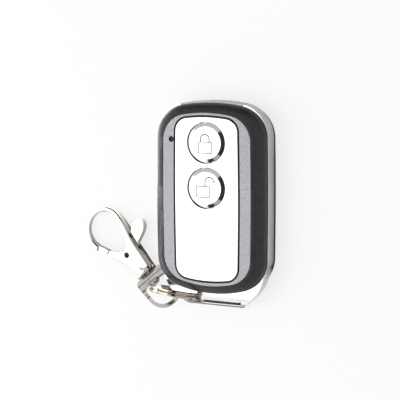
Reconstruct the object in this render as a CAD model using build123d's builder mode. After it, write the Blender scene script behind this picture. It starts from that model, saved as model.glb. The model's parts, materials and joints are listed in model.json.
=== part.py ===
"""Two-button wireless remote control on a split ring with a swivel lobster clasp.

Millimetres. The remote lies on its back: +Z is out of the front face, +Y is towards the top
end, +X is to the right, and the origin is the middle of the flat back, on the table.
"""

from build123d import *
import os
from math import cos, radians, sin, sqrt

# Remote body: outline of the plastic shell, seen from the front, as wide as the cell needs
CELL_LENGTH = 28.2
CELL_ROOM = 4.0
BODY_HALF_WIDTH = CELL_LENGTH / 2 + CELL_ROOM
BODY_TOP = 29.05
BODY_BOTTOM = -29.05
BODY_CORNER = 10.0
SIDE_BOW = 0.3
TOP_END_RADIUS = 59.0
BOTTOM_END_RADIUS = 38.0

# Remote body: heights above the table
BACK_FLOOR = 1.2
BACK_EDGE_ROUND = 2.1
FRAME_BACK_Z = 3.5
FRAME_FRONT_Z = 8.2
CEILING_Z = 10.2
BEZEL_SEAT_Z = 11.2
BEZEL_FRONT_Z = 12.26
PANEL_FRONT_Z = 12.4

# Walls and fits
SHELL_WALL = 1.6
BACK_WALL = 1.4
FRAME_WALL = 1.2
SPIGOT_WALL = 0.9
SPIGOT_DEPTH = 1.1
SPIGOT_CLEARANCE = 0.1
FLANK_ROUND = 3.9

# Chrome frame, its bar for the ring and the window for the aerial
FRAME_OVERHANG = 0.22
FRAME_CROWN = 0.55
FRAME_TOP = BODY_TOP + FRAME_CROWN
BAR_BOTTOM = -33.3
BAR_FLAT_HALF = 8.6
FOOT_START_Y = -12.0
FOOT_WAIST_IN, FOOT_WAIST_Y = 1.1, -20.6
FOOT_KNEE_IN, FOOT_KNEE_Y = 3.0, -27.0
BAR_THICKNESS = 0.7
BAR_BACK_Z = 3.2
BAR_FRONT_Z = 6.2
BAR_EDGE = 0.45
SLOT_HALF_WIDTH = 9.1
SLOT_HEIGHT = 3.1
SLOT_END_ROUND = 1.2
BAR_SLOPE_START = -28.9
BAR_SLOPE_CROWN = 0.5
WINDOW_HALF_WIDTH = 10.2
WINDOW_GAP = 0.15
WINDOW_DEPTH = 4.05
WINDOW_FLOOR_Y = BODY_TOP - WINDOW_DEPTH

# Bezel and bright panel in the front face
BEZEL_HALF_WIDTH = 14.5
BEZEL_TOP = 26.35
BEZEL_BOTTOM = -26.1
BEZEL_CORNER = 8.0
BEZEL_TOP_RADIUS = 43.3
BEZEL_BOTTOM_RADIUS = 33.7
BEZEL_CLEARANCE = 0.05
BEZEL_EDGE = 0.2
PANEL_HALF_WIDTH = 10.4
PANEL_TOP = 25.05
PANEL_BOTTOM = -24.55
PANEL_CORNER = 4.0
PANEL_TOP_RADIUS = 48.0
PANEL_BOTTOM_RADIUS = 42.0
PANEL_GROOVE = 0.55
PANEL_EDGE = 0.12

# Push buttons, their rubber pads and the switches below them
BUTTON_DIAMETER = 12.0
BUTTON_FLAT_DIAMETER = 9.8
BUTTON_CLEARANCE = 0.2
BUTTON_FRONT_Z = 12.5
BUTTON_BEVEL = 0.45
BUTTON_FLANGE_DIAMETER = 13.2
BUTTON_FLANGE = 0.5
LOCK_Y = 17.34
UNLOCK_Y = 3.73
PAD_DIAMETER = 6.4
PAD_THICKNESS = 0.7
PLUNGER_DIAMETER = 2.2
PLUNGER_CLEARANCE = 0.1
SWITCH_SIDE = 5.2
SWITCH_HEIGHT = 1.8
SWITCH_WELL = 1.2

# Circuit board and what it carries
BOARD_Z = 5.8
BOARD_THICKNESS = 0.8
BOARD_INSET = 2.2
BOARD_BOTTOM = -10.6
POST_DIAMETER = 2.8
POST_PLACES = [(-9.5, 9.0), (9.5, 2.0), (-9.5, -7.5), (9.5, -7.5), (0.0, 25.0)]
LED_X, LED_Y = -11.6, 18.1
LED_HOLE = 1.5
LENS_CLEARANCE = 0.03
LENS_FLANGE_DIAMETER = 2.4
LED_LENGTH, LED_WIDTH, LED_HEIGHT = 2.0, 1.25, 0.8
CHIP_PLACE = (10.4, 10.4)
CHIP_LENGTH, CHIP_WIDTH, CHIP_HEIGHT = 6.2, 4.0, 1.5
CHIP_LEAD_PITCH, CHIP_LEAD_WIDTH, CHIP_LEAD_REACH = 1.27, 0.45, 0.9
RESONATOR_PLACE = (-9.0, -2.2)
RESONATOR_DIAMETER = 6.0
RESONATOR_HEIGHT = 2.4

# Battery lying across the lower half, with its two contacts
BATTERY_DIAMETER = 8.0
BATTERY_Y = -15.8
BATTERY_Z = 5.7
NUB_DIAMETER = 3.6
NUB_LENGTH = 1.2
CONTACT_THICKNESS = 0.4
CONTACT_WIDTH = 5.6
CONTACT_TOP_Z = 8.6
LEAF_BULGE = 1.4
CRADLE_X = 8.0
CRADLE_WIDTH = 1.4
CRADLE_TOP_Z = 4.2
CRADLE_CLEARANCE = 0.05

# Screws that hold the back to the front
SCREW_PLACES = [(-12.9, 21.3), (12.9, 21.3), (-12.0, -22.0), (12.0, -22.0)]
SCREW_DIAMETER = 2.0
SCREW_HEAD_DIAMETER = 3.6
SCREW_HEAD_HEIGHT = 1.0
SCREW_TIP_Z = 7.8
SCREW_CLEARANCE = 0.02
SCREW_SEAT_Z = 1.5
RECESS_DIAMETER = 3.9
BOSS_DIAMETER = 4.0
BOSS_SPLIT_Z = 3.4
CROSS_WIDTH, CROSS_LENGTH, CROSS_DEPTH = 0.5, 2.2, 0.5

# Split ring through the slot, standing on the table
RING_DIAMETER = 16.4
RING_WIRE_WIDTH = 1.4
RING_WIRE_HEIGHT = 1.0
RING_TURN_GAP = 0.06
RING_WIRE_EDGE = 0.25
RING_IN = 5.65
RING_UP = 3.51
RING_Z = 8.25
RING_CHORD = Vector(0.9936, -0.1126, 0.0)
RING_LEAN = 11.8
RING_START = 200.0
RING_STEP = 34.0

# Swivel clasp: the axis from the claw through the loop, measured from the swivel gap
CLASP_OUT = 6.28
CLASP_UP = 7.42
CLASP_Z = 3.7
CLASP_AZIMUTH = -41.8
CLASP_RISE = 0.08
SWIVEL_GAP = 0.3
COLLAR_RADIUS = 3.55
COLLAR_THICKNESS = 1.3
COLLAR_ROUND = 0.4
NECK_RADIUS = 2.15
NECK_LENGTH = 3.0
PIN_DIAMETER = 2.2
PIN_CLEARANCE = 0.05
PIN_TAIL = 3.2
PIN_HEAD_DIAMETER = 4.2
PIN_HEAD_HEIGHT = 1.3

# Swivel loop, rolled about its pin so that its inner side dips under the frame's corner
LOOP_ROLL = 27.0
LOOP_RADIUS = 5.3
LOOP_WIRE = 1.15
LOOP_LENGTH = 12.7
SADDLE_DEPTH = 2.85
SADDLE_HALF_WIDTH = 3.9
SADDLE_HALF_THICKNESS = 1.6
SADDLE_SHOULDER = 2.0
ARCH_CORNER = 1.6

# Claw: hook, arm and body round the opening, set a little off the swivel axis
CLAW_OFFSET = 0.3
HOOK_CENTRE_X, HOOK_CENTRE_Y = -20.65, -1.42
HOOK_RADIUS = 7.3
HOOK_WIRE = 1.45
BODY_HALF_THICKNESS = 2.1
HOOK_HALF_THICKNESS = 0.8
CLAW_EDGE = 0.3
ARM_CURVE = [(-1.2, 2.7), (-5.2, 3.15), (-8.6, 3.6), (-12.2, 4.3), (-16.0, 5.25)]
THROAT_CURVE = [(-16.2, 3.5), (-12.6, 2.4), (-11.0, 0.4), (-10.9, -2.2)]
BELLY_CURVE = [(-9.2, -4.1), (-6.3, -3.2), (-3.7, -2.6), (-1.2, -2.3)]
TAPER_START_X, TAPER_MIDDLE_X, TAPER_END_X = -12.0, -17.5, -22.5
LIP_X, LIP_Y = -12.4, -4.9
PIVOT_X, PIVOT_Y = -8.8, -0.65
PIVOT_DIAMETER = 1.5
RIVET_HEAD_DIAMETER = 2.0
RIVET_HEAD_HEIGHT = 0.25
RIVET_SINK_DIAMETER = 3.2
GATE_TAB = 1.2
GATE_SIDE_CLEARANCE = 0.1
GATE_WIDTH = 2.0
GATE_TIP_RADIUS = 11.45
GATE_TIP_GAP = 0.2
GATE_DISC_RADIUS = 1.9
SLOT_WALL = [(-6.6, -5.9), (-6.2, -2.0), (-5.58, 1.6), (-5.4, 3.3), (-5.4, 4.8)]
SLOT_MOUTH = [(-12.4, 5.6), (-11.4, 1.6), (-12.4, 0.4), (-13.4, -2.0), (-13.4, -5.9)]
GATE_WEB = [(-15.2, -6.8), (-15.2, -5.7), (-12.0, -2.9), (-10.2, 0.6), (-7.8, -2.2), (-11.8, -5.2)]
GATE_NECK = [(-10.3, 0.4), (-11.5, 3.4), (-12.1, 5.8), (-9.4, 5.4), (-7.5, 0.6)]
GATE_BACK = [(-16.4, -5.8), (-14.9, -5.35), (-14.6, -6.6), (-15.6, -7.25)]
GATE_TIP_TOP, GATE_TIP_BOTTOM = -6.75, -8.3
THUMB_CURVE = [
    (-9.3, 4.6),
    (-10.2, 8.0),
    (-11.8, 10.4),
    (-13.2, 10.8),
    (-14.4, 9.6),
    (-14.3, 7.2),
    (-13.2, 5.3),
]
SPRING_BEND = [(-6.3, -1.4), (-5.78, 1.6), (-5.6, 3.3), (-8.25, 2.75)]
SPRING_STRIP = 0.3


def arc_drop(radius, half_width):
    """Height of a shallow arc of that radius over its half width."""
    return radius - sqrt(radius**2 - half_width**2)


def fob_outline(half_width, top, bottom, corner, top_radius, bottom_radius):
    """Face with bowed sides, shallow arched ends and round corners, in the open sketch."""
    side = half_width - SIDE_BOW
    upper = top - arc_drop(top_radius, side)
    lower = bottom + arc_drop(bottom_radius, side)
    middle = (upper + lower) / 2
    with BuildLine() as outline:
        ThreePointArc((side, lower), (half_width, middle), (side, upper))
        ThreePointArc((side, upper), (0, top), (-side, upper))
        ThreePointArc((-side, upper), (-half_width, middle), (-side, lower))
        ThreePointArc((-side, lower), (0, bottom), (side, lower))
    face = make_face(outline.edges())
    fillet(face.vertices(), corner)


def body_outline(grow=0.0):
    """Outline of the remote's shell, moved out by grow, or in where it is negative."""
    fob_outline(
        BODY_HALF_WIDTH + grow,
        BODY_TOP + grow,
        BODY_BOTTOM - grow,
        BODY_CORNER + grow,
        TOP_END_RADIUS + grow,
        BOTTOM_END_RADIUS + grow,
    )


def bezel_outline(grow=0.0):
    """Outline of the silver bezel."""
    fob_outline(
        BEZEL_HALF_WIDTH + grow,
        BEZEL_TOP + grow,
        BEZEL_BOTTOM - grow,
        BEZEL_CORNER + grow,
        BEZEL_TOP_RADIUS + grow,
        BEZEL_BOTTOM_RADIUS + grow,
    )


def panel_outline(grow=0.0):
    """Outline of the bright panel."""
    fob_outline(
        PANEL_HALF_WIDTH + grow,
        PANEL_TOP + grow,
        PANEL_BOTTOM - grow,
        PANEL_CORNER + grow,
        PANEL_TOP_RADIUS + grow,
        PANEL_BOTTOM_RADIUS + grow,
    )


def frame_outline():
    """Outline of the chrome frame: the body's sides, and a tapered foot down to the bar."""
    half = BODY_HALF_WIDTH + FRAME_OVERHANG
    fob_outline(
        half,
        FRAME_TOP,
        BODY_BOTTOM - FRAME_OVERHANG,
        BODY_CORNER,
        TOP_END_RADIUS,
        BOTTOM_END_RADIUS,
    )
    with BuildLine() as foot:
        right = Spline(
            (half - 0.25, FOOT_START_Y),
            (half - FOOT_WAIST_IN, FOOT_WAIST_Y),
            (half - FOOT_KNEE_IN, FOOT_KNEE_Y),
            (BAR_FLAT_HALF + 1.6, BAR_BOTTOM + 0.8),
            (BAR_FLAT_HALF, BAR_BOTTOM),
            tangents=[(0, -1), (-1, 0)],
        )
        Line(right @ 1, (0, BAR_BOTTOM))
        Line((0, BAR_BOTTOM), (0, FOOT_START_Y))
        Line((0, FOOT_START_Y), right @ 0)
    half_foot = make_face(foot.edges())
    mirror(half_foot, about=Plane.YZ)


def cavity_outline():
    """Opening inside the chrome frame."""
    body_outline(FRAME_OVERHANG - FRAME_WALL)


def spigot(plane_height, height):
    """Thin rim that enters the chrome frame, from that height upwards."""
    outside = FRAME_OVERHANG - FRAME_WALL - SPIGOT_CLEARANCE
    with BuildSketch(Plane.XY.offset(plane_height)) as rim:
        body_outline(outside)
    extrude(rim.sketch, amount=height)
    with BuildSketch(Plane.XY.offset(plane_height)) as hollow:
        body_outline(outside - SPIGOT_WALL)
    extrude(hollow.sketch, amount=height, mode=Mode.SUBTRACT)


def posts(places, diameter, bottom, top, mode=Mode.ADD):
    """Upright round posts, or holes, between two heights."""
    with BuildSketch(Plane.XY.offset(bottom)) as rounds:
        with Locations(*places):
            Circle(diameter / 2)
    extrude(rounds.sketch, amount=top - bottom, mode=mode)


os.makedirs("parts", exist_ok=True)

# Heights and places that follow from the sizes above
board_top = BOARD_Z + BOARD_THICKNESS
flange_bottom = CEILING_Z - BUTTON_FLANGE
pad_bottom = flange_bottom - PAD_THICKNESS
switch_top = board_top + SWITCH_HEIGHT
button_places = [(0, LOCK_Y), (0, UNLOCK_Y)]
button_hole = BUTTON_DIAMETER + 2 * BUTTON_CLEARANCE
lens_hole = LED_HOLE + 2 * LENS_CLEARANCE
spigot_overlap = 0.6

# Back cover: a tray with a rounded edge, board posts, battery cradle and screw bosses
with BuildPart() as back_cover:
    with BuildSketch(Plane.XY):
        body_outline()
    extrude(amount=FRAME_BACK_Z)
    fillet(back_cover.faces().sort_by(Axis.Z)[0].edges(), BACK_EDGE_ROUND)
    with BuildSketch(Plane.XY.offset(BACK_FLOOR)):
        body_outline(-BACK_WALL)
    extrude(amount=FRAME_BACK_Z, mode=Mode.SUBTRACT)
    spigot(BACK_FLOOR, FRAME_BACK_Z + SPIGOT_DEPTH - BACK_FLOOR)
    posts(POST_PLACES, POST_DIAMETER, BACK_FLOOR, BOARD_Z)
    posts(SCREW_PLACES, RECESS_DIAMETER + 2 * SPIGOT_WALL, BACK_FLOOR, BOSS_SPLIT_Z)
    posts(SCREW_PLACES, SCREW_DIAMETER + 2 * SPIGOT_CLEARANCE, 0, BOSS_SPLIT_Z, Mode.SUBTRACT)
    posts(SCREW_PLACES, RECESS_DIAMETER, 0, SCREW_SEAT_Z, Mode.SUBTRACT)
    with BuildSketch(Plane.XY.offset(BACK_FLOOR)):
        with Locations((-CRADLE_X, BATTERY_Y), (CRADLE_X, BATTERY_Y)):
            Rectangle(CRADLE_WIDTH, BATTERY_DIAMETER)
    extrude(amount=CRADLE_TOP_Z - BACK_FLOOR)
    with BuildSketch(Plane.YZ):
        with Locations((BATTERY_Y, BATTERY_Z)):
            Circle(BATTERY_DIAMETER / 2 + CRADLE_CLEARANCE)
    extrude(amount=CRADLE_X + CRADLE_WIDTH, both=True, mode=Mode.SUBTRACT)
back_cover.part.label = "back_cover"
export_step(back_cover.part, "parts/back_cover.step")

# Chrome frame: a band round the body, with a foot that carries the slot for the ring
with BuildPart() as chrome_frame:
    with BuildSketch(Plane.XY.offset(FRAME_BACK_Z)):
        frame_outline()
    extrude(amount=FRAME_FRONT_Z - FRAME_BACK_Z)
    with BuildSketch(Plane.XY.offset(BAR_BACK_Z)):
        frame_outline()
        with Locations((0, BODY_BOTTOM - FRAME_OVERHANG)):
            Rectangle(
                4 * BODY_HALF_WIDTH,
                BODY_TOP - BAR_BOTTOM,
                align=(Align.CENTER, Align.MAX),
                mode=Mode.INTERSECT,
            )
    extrude(amount=FRAME_BACK_Z - BAR_BACK_Z)
    with BuildSketch(Plane.XY.offset(FRAME_BACK_Z)):
        cavity_outline()
    extrude(amount=FRAME_FRONT_Z - FRAME_BACK_Z, mode=Mode.SUBTRACT)
    with BuildSketch(Plane.YZ):
        with BuildLine():
            slope = ThreePointArc(
                (BAR_SLOPE_START, FRAME_FRONT_Z),
                (
                    (BAR_SLOPE_START + BAR_BOTTOM) / 2,
                    (FRAME_FRONT_Z + BAR_FRONT_Z) / 2 + BAR_SLOPE_CROWN,
                ),
                (BAR_BOTTOM + BAR_EDGE, BAR_FRONT_Z),
            )
            Polyline(
                slope @ 1,
                (BAR_BOTTOM, BAR_FRONT_Z - BAR_EDGE),
                (BAR_BOTTOM - BAR_THICKNESS, BAR_FRONT_Z - BAR_EDGE),
                (BAR_BOTTOM - BAR_THICKNESS, FRAME_FRONT_Z + 1),
                (BAR_SLOPE_START, FRAME_FRONT_Z + 1),
                slope @ 0,
            )
        make_face()
    extrude(amount=BODY_HALF_WIDTH, both=True, mode=Mode.SUBTRACT)
    with BuildSketch(Plane.XY):
        with Locations((0, BAR_BOTTOM + BAR_THICKNESS + SLOT_HEIGHT / 2)):
            RectangleRounded(2 * SLOT_HALF_WIDTH, SLOT_HEIGHT, SLOT_END_ROUND)
    extrude(amount=PANEL_FRONT_Z, mode=Mode.SUBTRACT)
    with BuildSketch(Plane.XY):
        with Locations((0, WINDOW_FLOOR_Y)):
            Rectangle(
                2 * (WINDOW_HALF_WIDTH + WINDOW_GAP),
                FRAME_TOP,
                align=(Align.CENTER, Align.MIN),
            )
    extrude(amount=PANEL_FRONT_Z, mode=Mode.SUBTRACT)
chrome_frame.part.label = "chrome_frame"
export_step(chrome_frame.part, "parts/chrome_frame.step")

# Aerial window: the plastic length of the band at the top, where radio can leave
with BuildPart() as antenna_window:
    with BuildSketch(Plane.XY.offset(FRAME_BACK_Z)):
        frame_outline()
        with Locations((0, WINDOW_FLOOR_Y)):
            Rectangle(
                2 * WINDOW_HALF_WIDTH,
                FRAME_TOP,
                align=(Align.CENTER, Align.MIN),
                mode=Mode.INTERSECT,
            )
    extrude(amount=FRAME_FRONT_Z - FRAME_BACK_Z)
    with BuildSketch(Plane.XY.offset(FRAME_BACK_Z)):
        cavity_outline()
    extrude(amount=FRAME_FRONT_Z - FRAME_BACK_Z, mode=Mode.SUBTRACT)
antenna_window.part.label = "antenna_window"
export_step(antenna_window.part, "parts/antenna_window.step")

# Front shell: domed flank, a seat for bezel and panel, bosses for the screws
with BuildPart() as front_shell:
    with BuildSketch(Plane.XY.offset(FRAME_FRONT_Z)):
        body_outline()
    extrude(amount=BEZEL_FRONT_Z - FRAME_FRONT_Z)
    fillet(front_shell.faces().sort_by(Axis.Z)[-1].edges(), FLANK_ROUND)
    with BuildSketch(Plane.XY.offset(BEZEL_SEAT_Z)):
        bezel_outline(BEZEL_CLEARANCE)
    extrude(amount=BEZEL_FRONT_Z, mode=Mode.SUBTRACT)
    with BuildSketch(Plane.XY.offset(FRAME_FRONT_Z)):
        body_outline(-SHELL_WALL)
    extrude(amount=CEILING_Z - FRAME_FRONT_Z, mode=Mode.SUBTRACT)
    spigot(FRAME_FRONT_Z - SPIGOT_DEPTH, SPIGOT_DEPTH + spigot_overlap)
    posts(SCREW_PLACES, BOSS_DIAMETER, BOSS_SPLIT_Z, CEILING_Z)
    posts(
        SCREW_PLACES,
        SCREW_DIAMETER + 2 * SCREW_CLEARANCE,
        BOSS_SPLIT_Z,
        SCREW_TIP_Z + SCREW_HEAD_HEIGHT,
        Mode.SUBTRACT,
    )
    posts(button_places, button_hole, CEILING_Z, BEZEL_SEAT_Z, Mode.SUBTRACT)
    posts([(LED_X, LED_Y)], lens_hole, CEILING_Z, BEZEL_SEAT_Z, Mode.SUBTRACT)
front_shell.part.label = "front_shell"
export_step(front_shell.part, "parts/front_shell.step")

# Silver bezel round the panel, with the lamp's hole
with BuildPart() as front_bezel:
    with BuildSketch(Plane.XY.offset(BEZEL_SEAT_Z)):
        bezel_outline()
    extrude(amount=BEZEL_FRONT_Z - BEZEL_SEAT_Z)
    fillet(front_bezel.faces().sort_by(Axis.Z)[-1].edges(), BEZEL_EDGE)
    with BuildSketch(Plane.XY.offset(BEZEL_SEAT_Z)):
        panel_outline(PANEL_GROOVE)
    extrude(amount=BEZEL_FRONT_Z - BEZEL_SEAT_Z, mode=Mode.SUBTRACT)
    posts([(LED_X, LED_Y)], lens_hole, BEZEL_SEAT_Z, BEZEL_FRONT_Z, Mode.SUBTRACT)
front_bezel.part.label = "front_bezel"
export_step(front_bezel.part, "parts/front_bezel.step")

# Bright panel with the two button openings
with BuildPart() as front_panel:
    with BuildSketch(Plane.XY.offset(BEZEL_SEAT_Z)):
        panel_outline()
        with Locations(*button_places):
            Circle(button_hole / 2, mode=Mode.SUBTRACT)
    extrude(amount=PANEL_FRONT_Z - BEZEL_SEAT_Z)
    chamfer(front_panel.faces().sort_by(Axis.Z)[-1].edges(), PANEL_EDGE)
front_panel.part.label = "front_panel"
export_step(front_panel.part, "parts/front_panel.step")


def make_button(y):
    """Round cap with a bevelled rim, held behind the ceiling by its flange."""
    rim = BUTTON_DIAMETER / 2
    flange = BUTTON_FLANGE_DIAMETER / 2
    with BuildPart() as button:
        with BuildSketch(Plane.XZ.offset(-y)):
            Polygon(
                (0, flange_bottom),
                (flange, flange_bottom),
                (flange, CEILING_Z),
                (rim, CEILING_Z),
                (rim, BUTTON_FRONT_Z - BUTTON_BEVEL),
                (BUTTON_FLAT_DIAMETER / 2, BUTTON_FRONT_Z),
                (0, BUTTON_FRONT_Z),
                align=None,
            )
        revolve(axis=Axis((0, y, 0), (0, 0, 1)))
    return button


def make_pad(y):
    """Rubber pad between a button and the plunger of its switch."""
    with BuildPart() as pad:
        posts([(0, y)], PAD_DIAMETER, pad_bottom, flange_bottom)
    return pad


def make_plunger(y):
    """Plunger of a switch, up to the pad."""
    with BuildPart() as plunger:
        posts([(0, y)], PLUNGER_DIAMETER, switch_top - SWITCH_WELL + 0.4, pad_bottom)
    return plunger


def make_switch(y):
    """Square body of a push switch, with the well of its plunger."""
    with BuildPart() as switch:
        with BuildSketch(Plane.XY.offset(board_top)):
            with Locations((0, y)):
                RectangleRounded(SWITCH_SIDE, SWITCH_SIDE, 0.5)
        extrude(amount=SWITCH_HEIGHT)
        posts(
            [(0, y)],
            PLUNGER_DIAMETER + 2 * PLUNGER_CLEARANCE,
            switch_top - SWITCH_WELL,
            switch_top,
            Mode.SUBTRACT,
        )
    return switch


lock_button = make_button(LOCK_Y)
lock_button.part.label = "lock_button"
export_step(lock_button.part, "parts/lock_button.step")
lock_pad = make_pad(LOCK_Y)
lock_pad.part.label = "lock_pad"
export_step(lock_pad.part, "parts/lock_pad.step")
lock_plunger = make_plunger(LOCK_Y)
lock_plunger.part.label = "lock_plunger"
export_step(lock_plunger.part, "parts/lock_plunger.step")
lock_switch = make_switch(LOCK_Y)
lock_switch.part.label = "lock_switch"
export_step(lock_switch.part, "parts/lock_switch.step")

unlock_button = make_button(UNLOCK_Y)
unlock_button.part.label = "unlock_button"
export_step(unlock_button.part, "parts/unlock_button.step")
unlock_pad = make_pad(UNLOCK_Y)
unlock_pad.part.label = "unlock_pad"
export_step(unlock_pad.part, "parts/unlock_pad.step")
unlock_plunger = make_plunger(UNLOCK_Y)
unlock_plunger.part.label = "unlock_plunger"
export_step(unlock_plunger.part, "parts/unlock_plunger.step")
unlock_switch = make_switch(UNLOCK_Y)
unlock_switch.part.label = "unlock_switch"
export_step(unlock_switch.part, "parts/unlock_switch.step")

# Circuit board, notched round the upper bosses
with BuildPart() as circuit_board:
    with BuildSketch(Plane.XY.offset(BOARD_Z)):
        body_outline(-BOARD_INSET)
        with Locations((0, BOARD_BOTTOM)):
            Rectangle(
                2 * BODY_HALF_WIDTH,
                BODY_TOP - BOARD_BOTTOM,
                align=(Align.CENTER, Align.MIN),
                mode=Mode.INTERSECT,
            )
        with Locations(*SCREW_PLACES[:2]):
            Circle(BOSS_DIAMETER / 2 + 2 * SPIGOT_CLEARANCE, mode=Mode.SUBTRACT)
    extrude(amount=BOARD_THICKNESS)
circuit_board.part.label = "circuit_board"
export_step(circuit_board.part, "parts/circuit_board.step")

# Lamp on the board and the light pipe that shows it in the bezel
with BuildPart() as status_led:
    with BuildSketch(Plane.XY.offset(board_top)):
        with Locations((LED_X, LED_Y)):
            Rectangle(LED_LENGTH, LED_WIDTH)
    extrude(amount=LED_HEIGHT)
status_led.part.label = "status_led"
export_step(status_led.part, "parts/status_led.step")

with BuildPart() as led_lens:
    posts([(LED_X, LED_Y)], LED_HOLE, board_top + LED_HEIGHT, BEZEL_FRONT_Z - BEZEL_EDGE)
    posts([(LED_X, LED_Y)], LENS_FLANGE_DIAMETER, flange_bottom, CEILING_Z)
led_lens.part.label = "led_lens"
export_step(led_lens.part, "parts/led_lens.step")

# Coding chip with its rows of leads
with BuildPart() as encoder_chip:
    with BuildSketch(Plane.XY.offset(board_top + BOARD_THICKNESS / 8)):
        with Locations(CHIP_PLACE):
            Rectangle(CHIP_WIDTH, CHIP_LENGTH)
    extrude(amount=CHIP_HEIGHT)
    with BuildSketch(Plane.XY.offset(board_top)):
        with Locations(CHIP_PLACE):
            with GridLocations(CHIP_WIDTH + CHIP_LEAD_REACH, CHIP_LEAD_PITCH, 2, 4):
                Rectangle(CHIP_LEAD_REACH + CHIP_LEAD_WIDTH, CHIP_LEAD_WIDTH)
    extrude(amount=CHIP_HEIGHT / 3)
encoder_chip.part.label = "encoder_chip"
export_step(encoder_chip.part, "parts/encoder_chip.step")

# Round metal can of the frequency resonator
with BuildPart() as saw_resonator:
    posts([RESONATOR_PLACE], RESONATOR_DIAMETER, board_top, board_top + RESONATOR_HEIGHT)
    fillet(saw_resonator.faces().sort_by(Axis.Z)[-1].edges(), 0.4)
saw_resonator.part.label = "saw_resonator"
export_step(saw_resonator.part, "parts/saw_resonator.step")

# Small 12 V cell across the lower half
battery_end = CELL_LENGTH / 2
with BuildPart() as battery:
    with BuildSketch(Plane.XY.offset(BATTERY_Z)):
        Polygon(
            (-battery_end, BATTERY_Y),
            (-battery_end, BATTERY_Y + BATTERY_DIAMETER / 2),
            (battery_end - NUB_LENGTH, BATTERY_Y + BATTERY_DIAMETER / 2),
            (battery_end - NUB_LENGTH, BATTERY_Y + NUB_DIAMETER / 2),
            (battery_end, BATTERY_Y + NUB_DIAMETER / 2),
            (battery_end, BATTERY_Y),
            align=None,
        )
    revolve(axis=Axis((0, BATTERY_Y, BATTERY_Z), (1, 0, 0)))
battery.part.label = "battery"
export_step(battery.part, "parts/battery.step")


def contact_plate(x):
    """Upright contact beside the battery, with a tail that stands on the board."""
    bottom = BATTERY_Z - CONTACT_WIDTH / 2
    with BuildSketch(Plane.YZ.offset(x)) as blade:
        with Locations((BATTERY_Y - CONTACT_WIDTH / 2, bottom)):
            Rectangle(CONTACT_WIDTH, CONTACT_TOP_Z - bottom, align=(Align.MIN, Align.MIN))
        with Locations((BATTERY_Y, board_top)):
            Rectangle(
                BOARD_BOTTOM - BATTERY_Y + CONTACT_WIDTH / 2,
                CONTACT_TOP_Z - board_top,
                align=(Align.MIN, Align.MIN),
            )
    extrude(blade.sketch, amount=CONTACT_THICKNESS)


with BuildPart() as positive_contact:
    contact_plate(battery_end)
positive_contact.part.label = "positive_contact"
export_step(positive_contact.part, "parts/positive_contact.step")

with BuildPart() as negative_contact:
    contact_plate(-battery_end - LEAF_BULGE - CONTACT_THICKNESS)
    with BuildSketch(Plane.XZ.offset(-BATTERY_Y)):
        with BuildLine():
            leaf = Polyline(
                (-battery_end - LEAF_BULGE, BATTERY_Z + 2),
                (-battery_end - CONTACT_THICKNESS / 2, BATTERY_Z + 0.6),
                (-battery_end - CONTACT_THICKNESS / 2, BATTERY_Z - 0.6),
                (-battery_end - LEAF_BULGE, BATTERY_Z - 2),
            )
        trace(leaf, line_width=CONTACT_THICKNESS)
    extrude(amount=CONTACT_WIDTH / 3, both=True)
negative_contact.part.label = "negative_contact"
export_step(negative_contact.part, "parts/negative_contact.step")

# Four case screws from the back, as one group of separate solids
with BuildPart() as case_screws:
    head_bottom = SCREW_SEAT_Z - SCREW_HEAD_HEIGHT
    posts(SCREW_PLACES, SCREW_HEAD_DIAMETER, head_bottom, SCREW_SEAT_Z)
    posts(SCREW_PLACES, SCREW_DIAMETER, SCREW_SEAT_Z, SCREW_TIP_Z)
    with BuildSketch(Plane.XY.offset(head_bottom)):
        with Locations(*SCREW_PLACES):
            Rectangle(CROSS_LENGTH, CROSS_WIDTH)
            Rectangle(CROSS_WIDTH, CROSS_LENGTH)
    extrude(amount=CROSS_DEPTH, mode=Mode.SUBTRACT)
case_screws.part.label = "case_screws"
export_step(case_screws.part, "parts/case_screws.step")

# Split ring: two turns of flattened wire, joined by one step between the layers
ring_centre = Vector(-BODY_HALF_WIDTH + RING_IN, BAR_BOTTOM + RING_UP, RING_Z)
ring_up = Vector(0, 0, 1) * cos(radians(RING_LEAN))
ring_up += Vector(-RING_CHORD.Y, RING_CHORD.X, 0) * sin(radians(RING_LEAN))
ring_plane = Plane(origin=ring_centre, x_dir=RING_CHORD, z_dir=RING_CHORD.cross(ring_up))
ring_axis = Axis(ring_centre, ring_plane.z_dir)
ring_mean = (RING_DIAMETER - RING_WIRE_WIDTH) / 2
ring_lift = (RING_WIRE_HEIGHT + RING_TURN_GAP) / 2


def ring_station(angle, lift):
    """Plane square to the wire at that angle round the ring, lifted along the ring's axis."""
    turn = radians(angle)
    radial = ring_plane.x_dir * cos(turn) + ring_plane.y_dir * sin(turn)
    centre = ring_plane.origin + radial * ring_mean + ring_plane.z_dir * lift
    return Plane(origin=centre, x_dir=radial, z_dir=ring_plane.z_dir.cross(radial))


def ring_section(angle, lift):
    """Section of the flattened wire at a station."""
    with BuildSketch(ring_station(angle, lift)) as section:
        Rectangle(RING_WIRE_WIDTH, RING_WIRE_HEIGHT)
        chamfer(section.vertices(), RING_WIRE_EDGE)
    return section.sketch


with BuildPart() as split_ring:
    lower_turn = ring_section(RING_START, -ring_lift)
    revolve(lower_turn, axis=ring_axis, revolution_arc=360 - RING_STEP)
    upper_turn = ring_section(RING_START, ring_lift)
    revolve(upper_turn, axis=ring_axis, revolution_arc=360 - RING_STEP)
    crossing = []
    for step in range(5):
        share = step / 4
        lift = ring_lift * (2 * share**2 * (3 - 2 * share) - 1)
        crossing.append(ring_section(RING_START - RING_STEP * (1 - share), lift))
    loft(crossing)
split_ring.part.label = "split_ring"
export_step(split_ring.part, "parts/split_ring.step")

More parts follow.
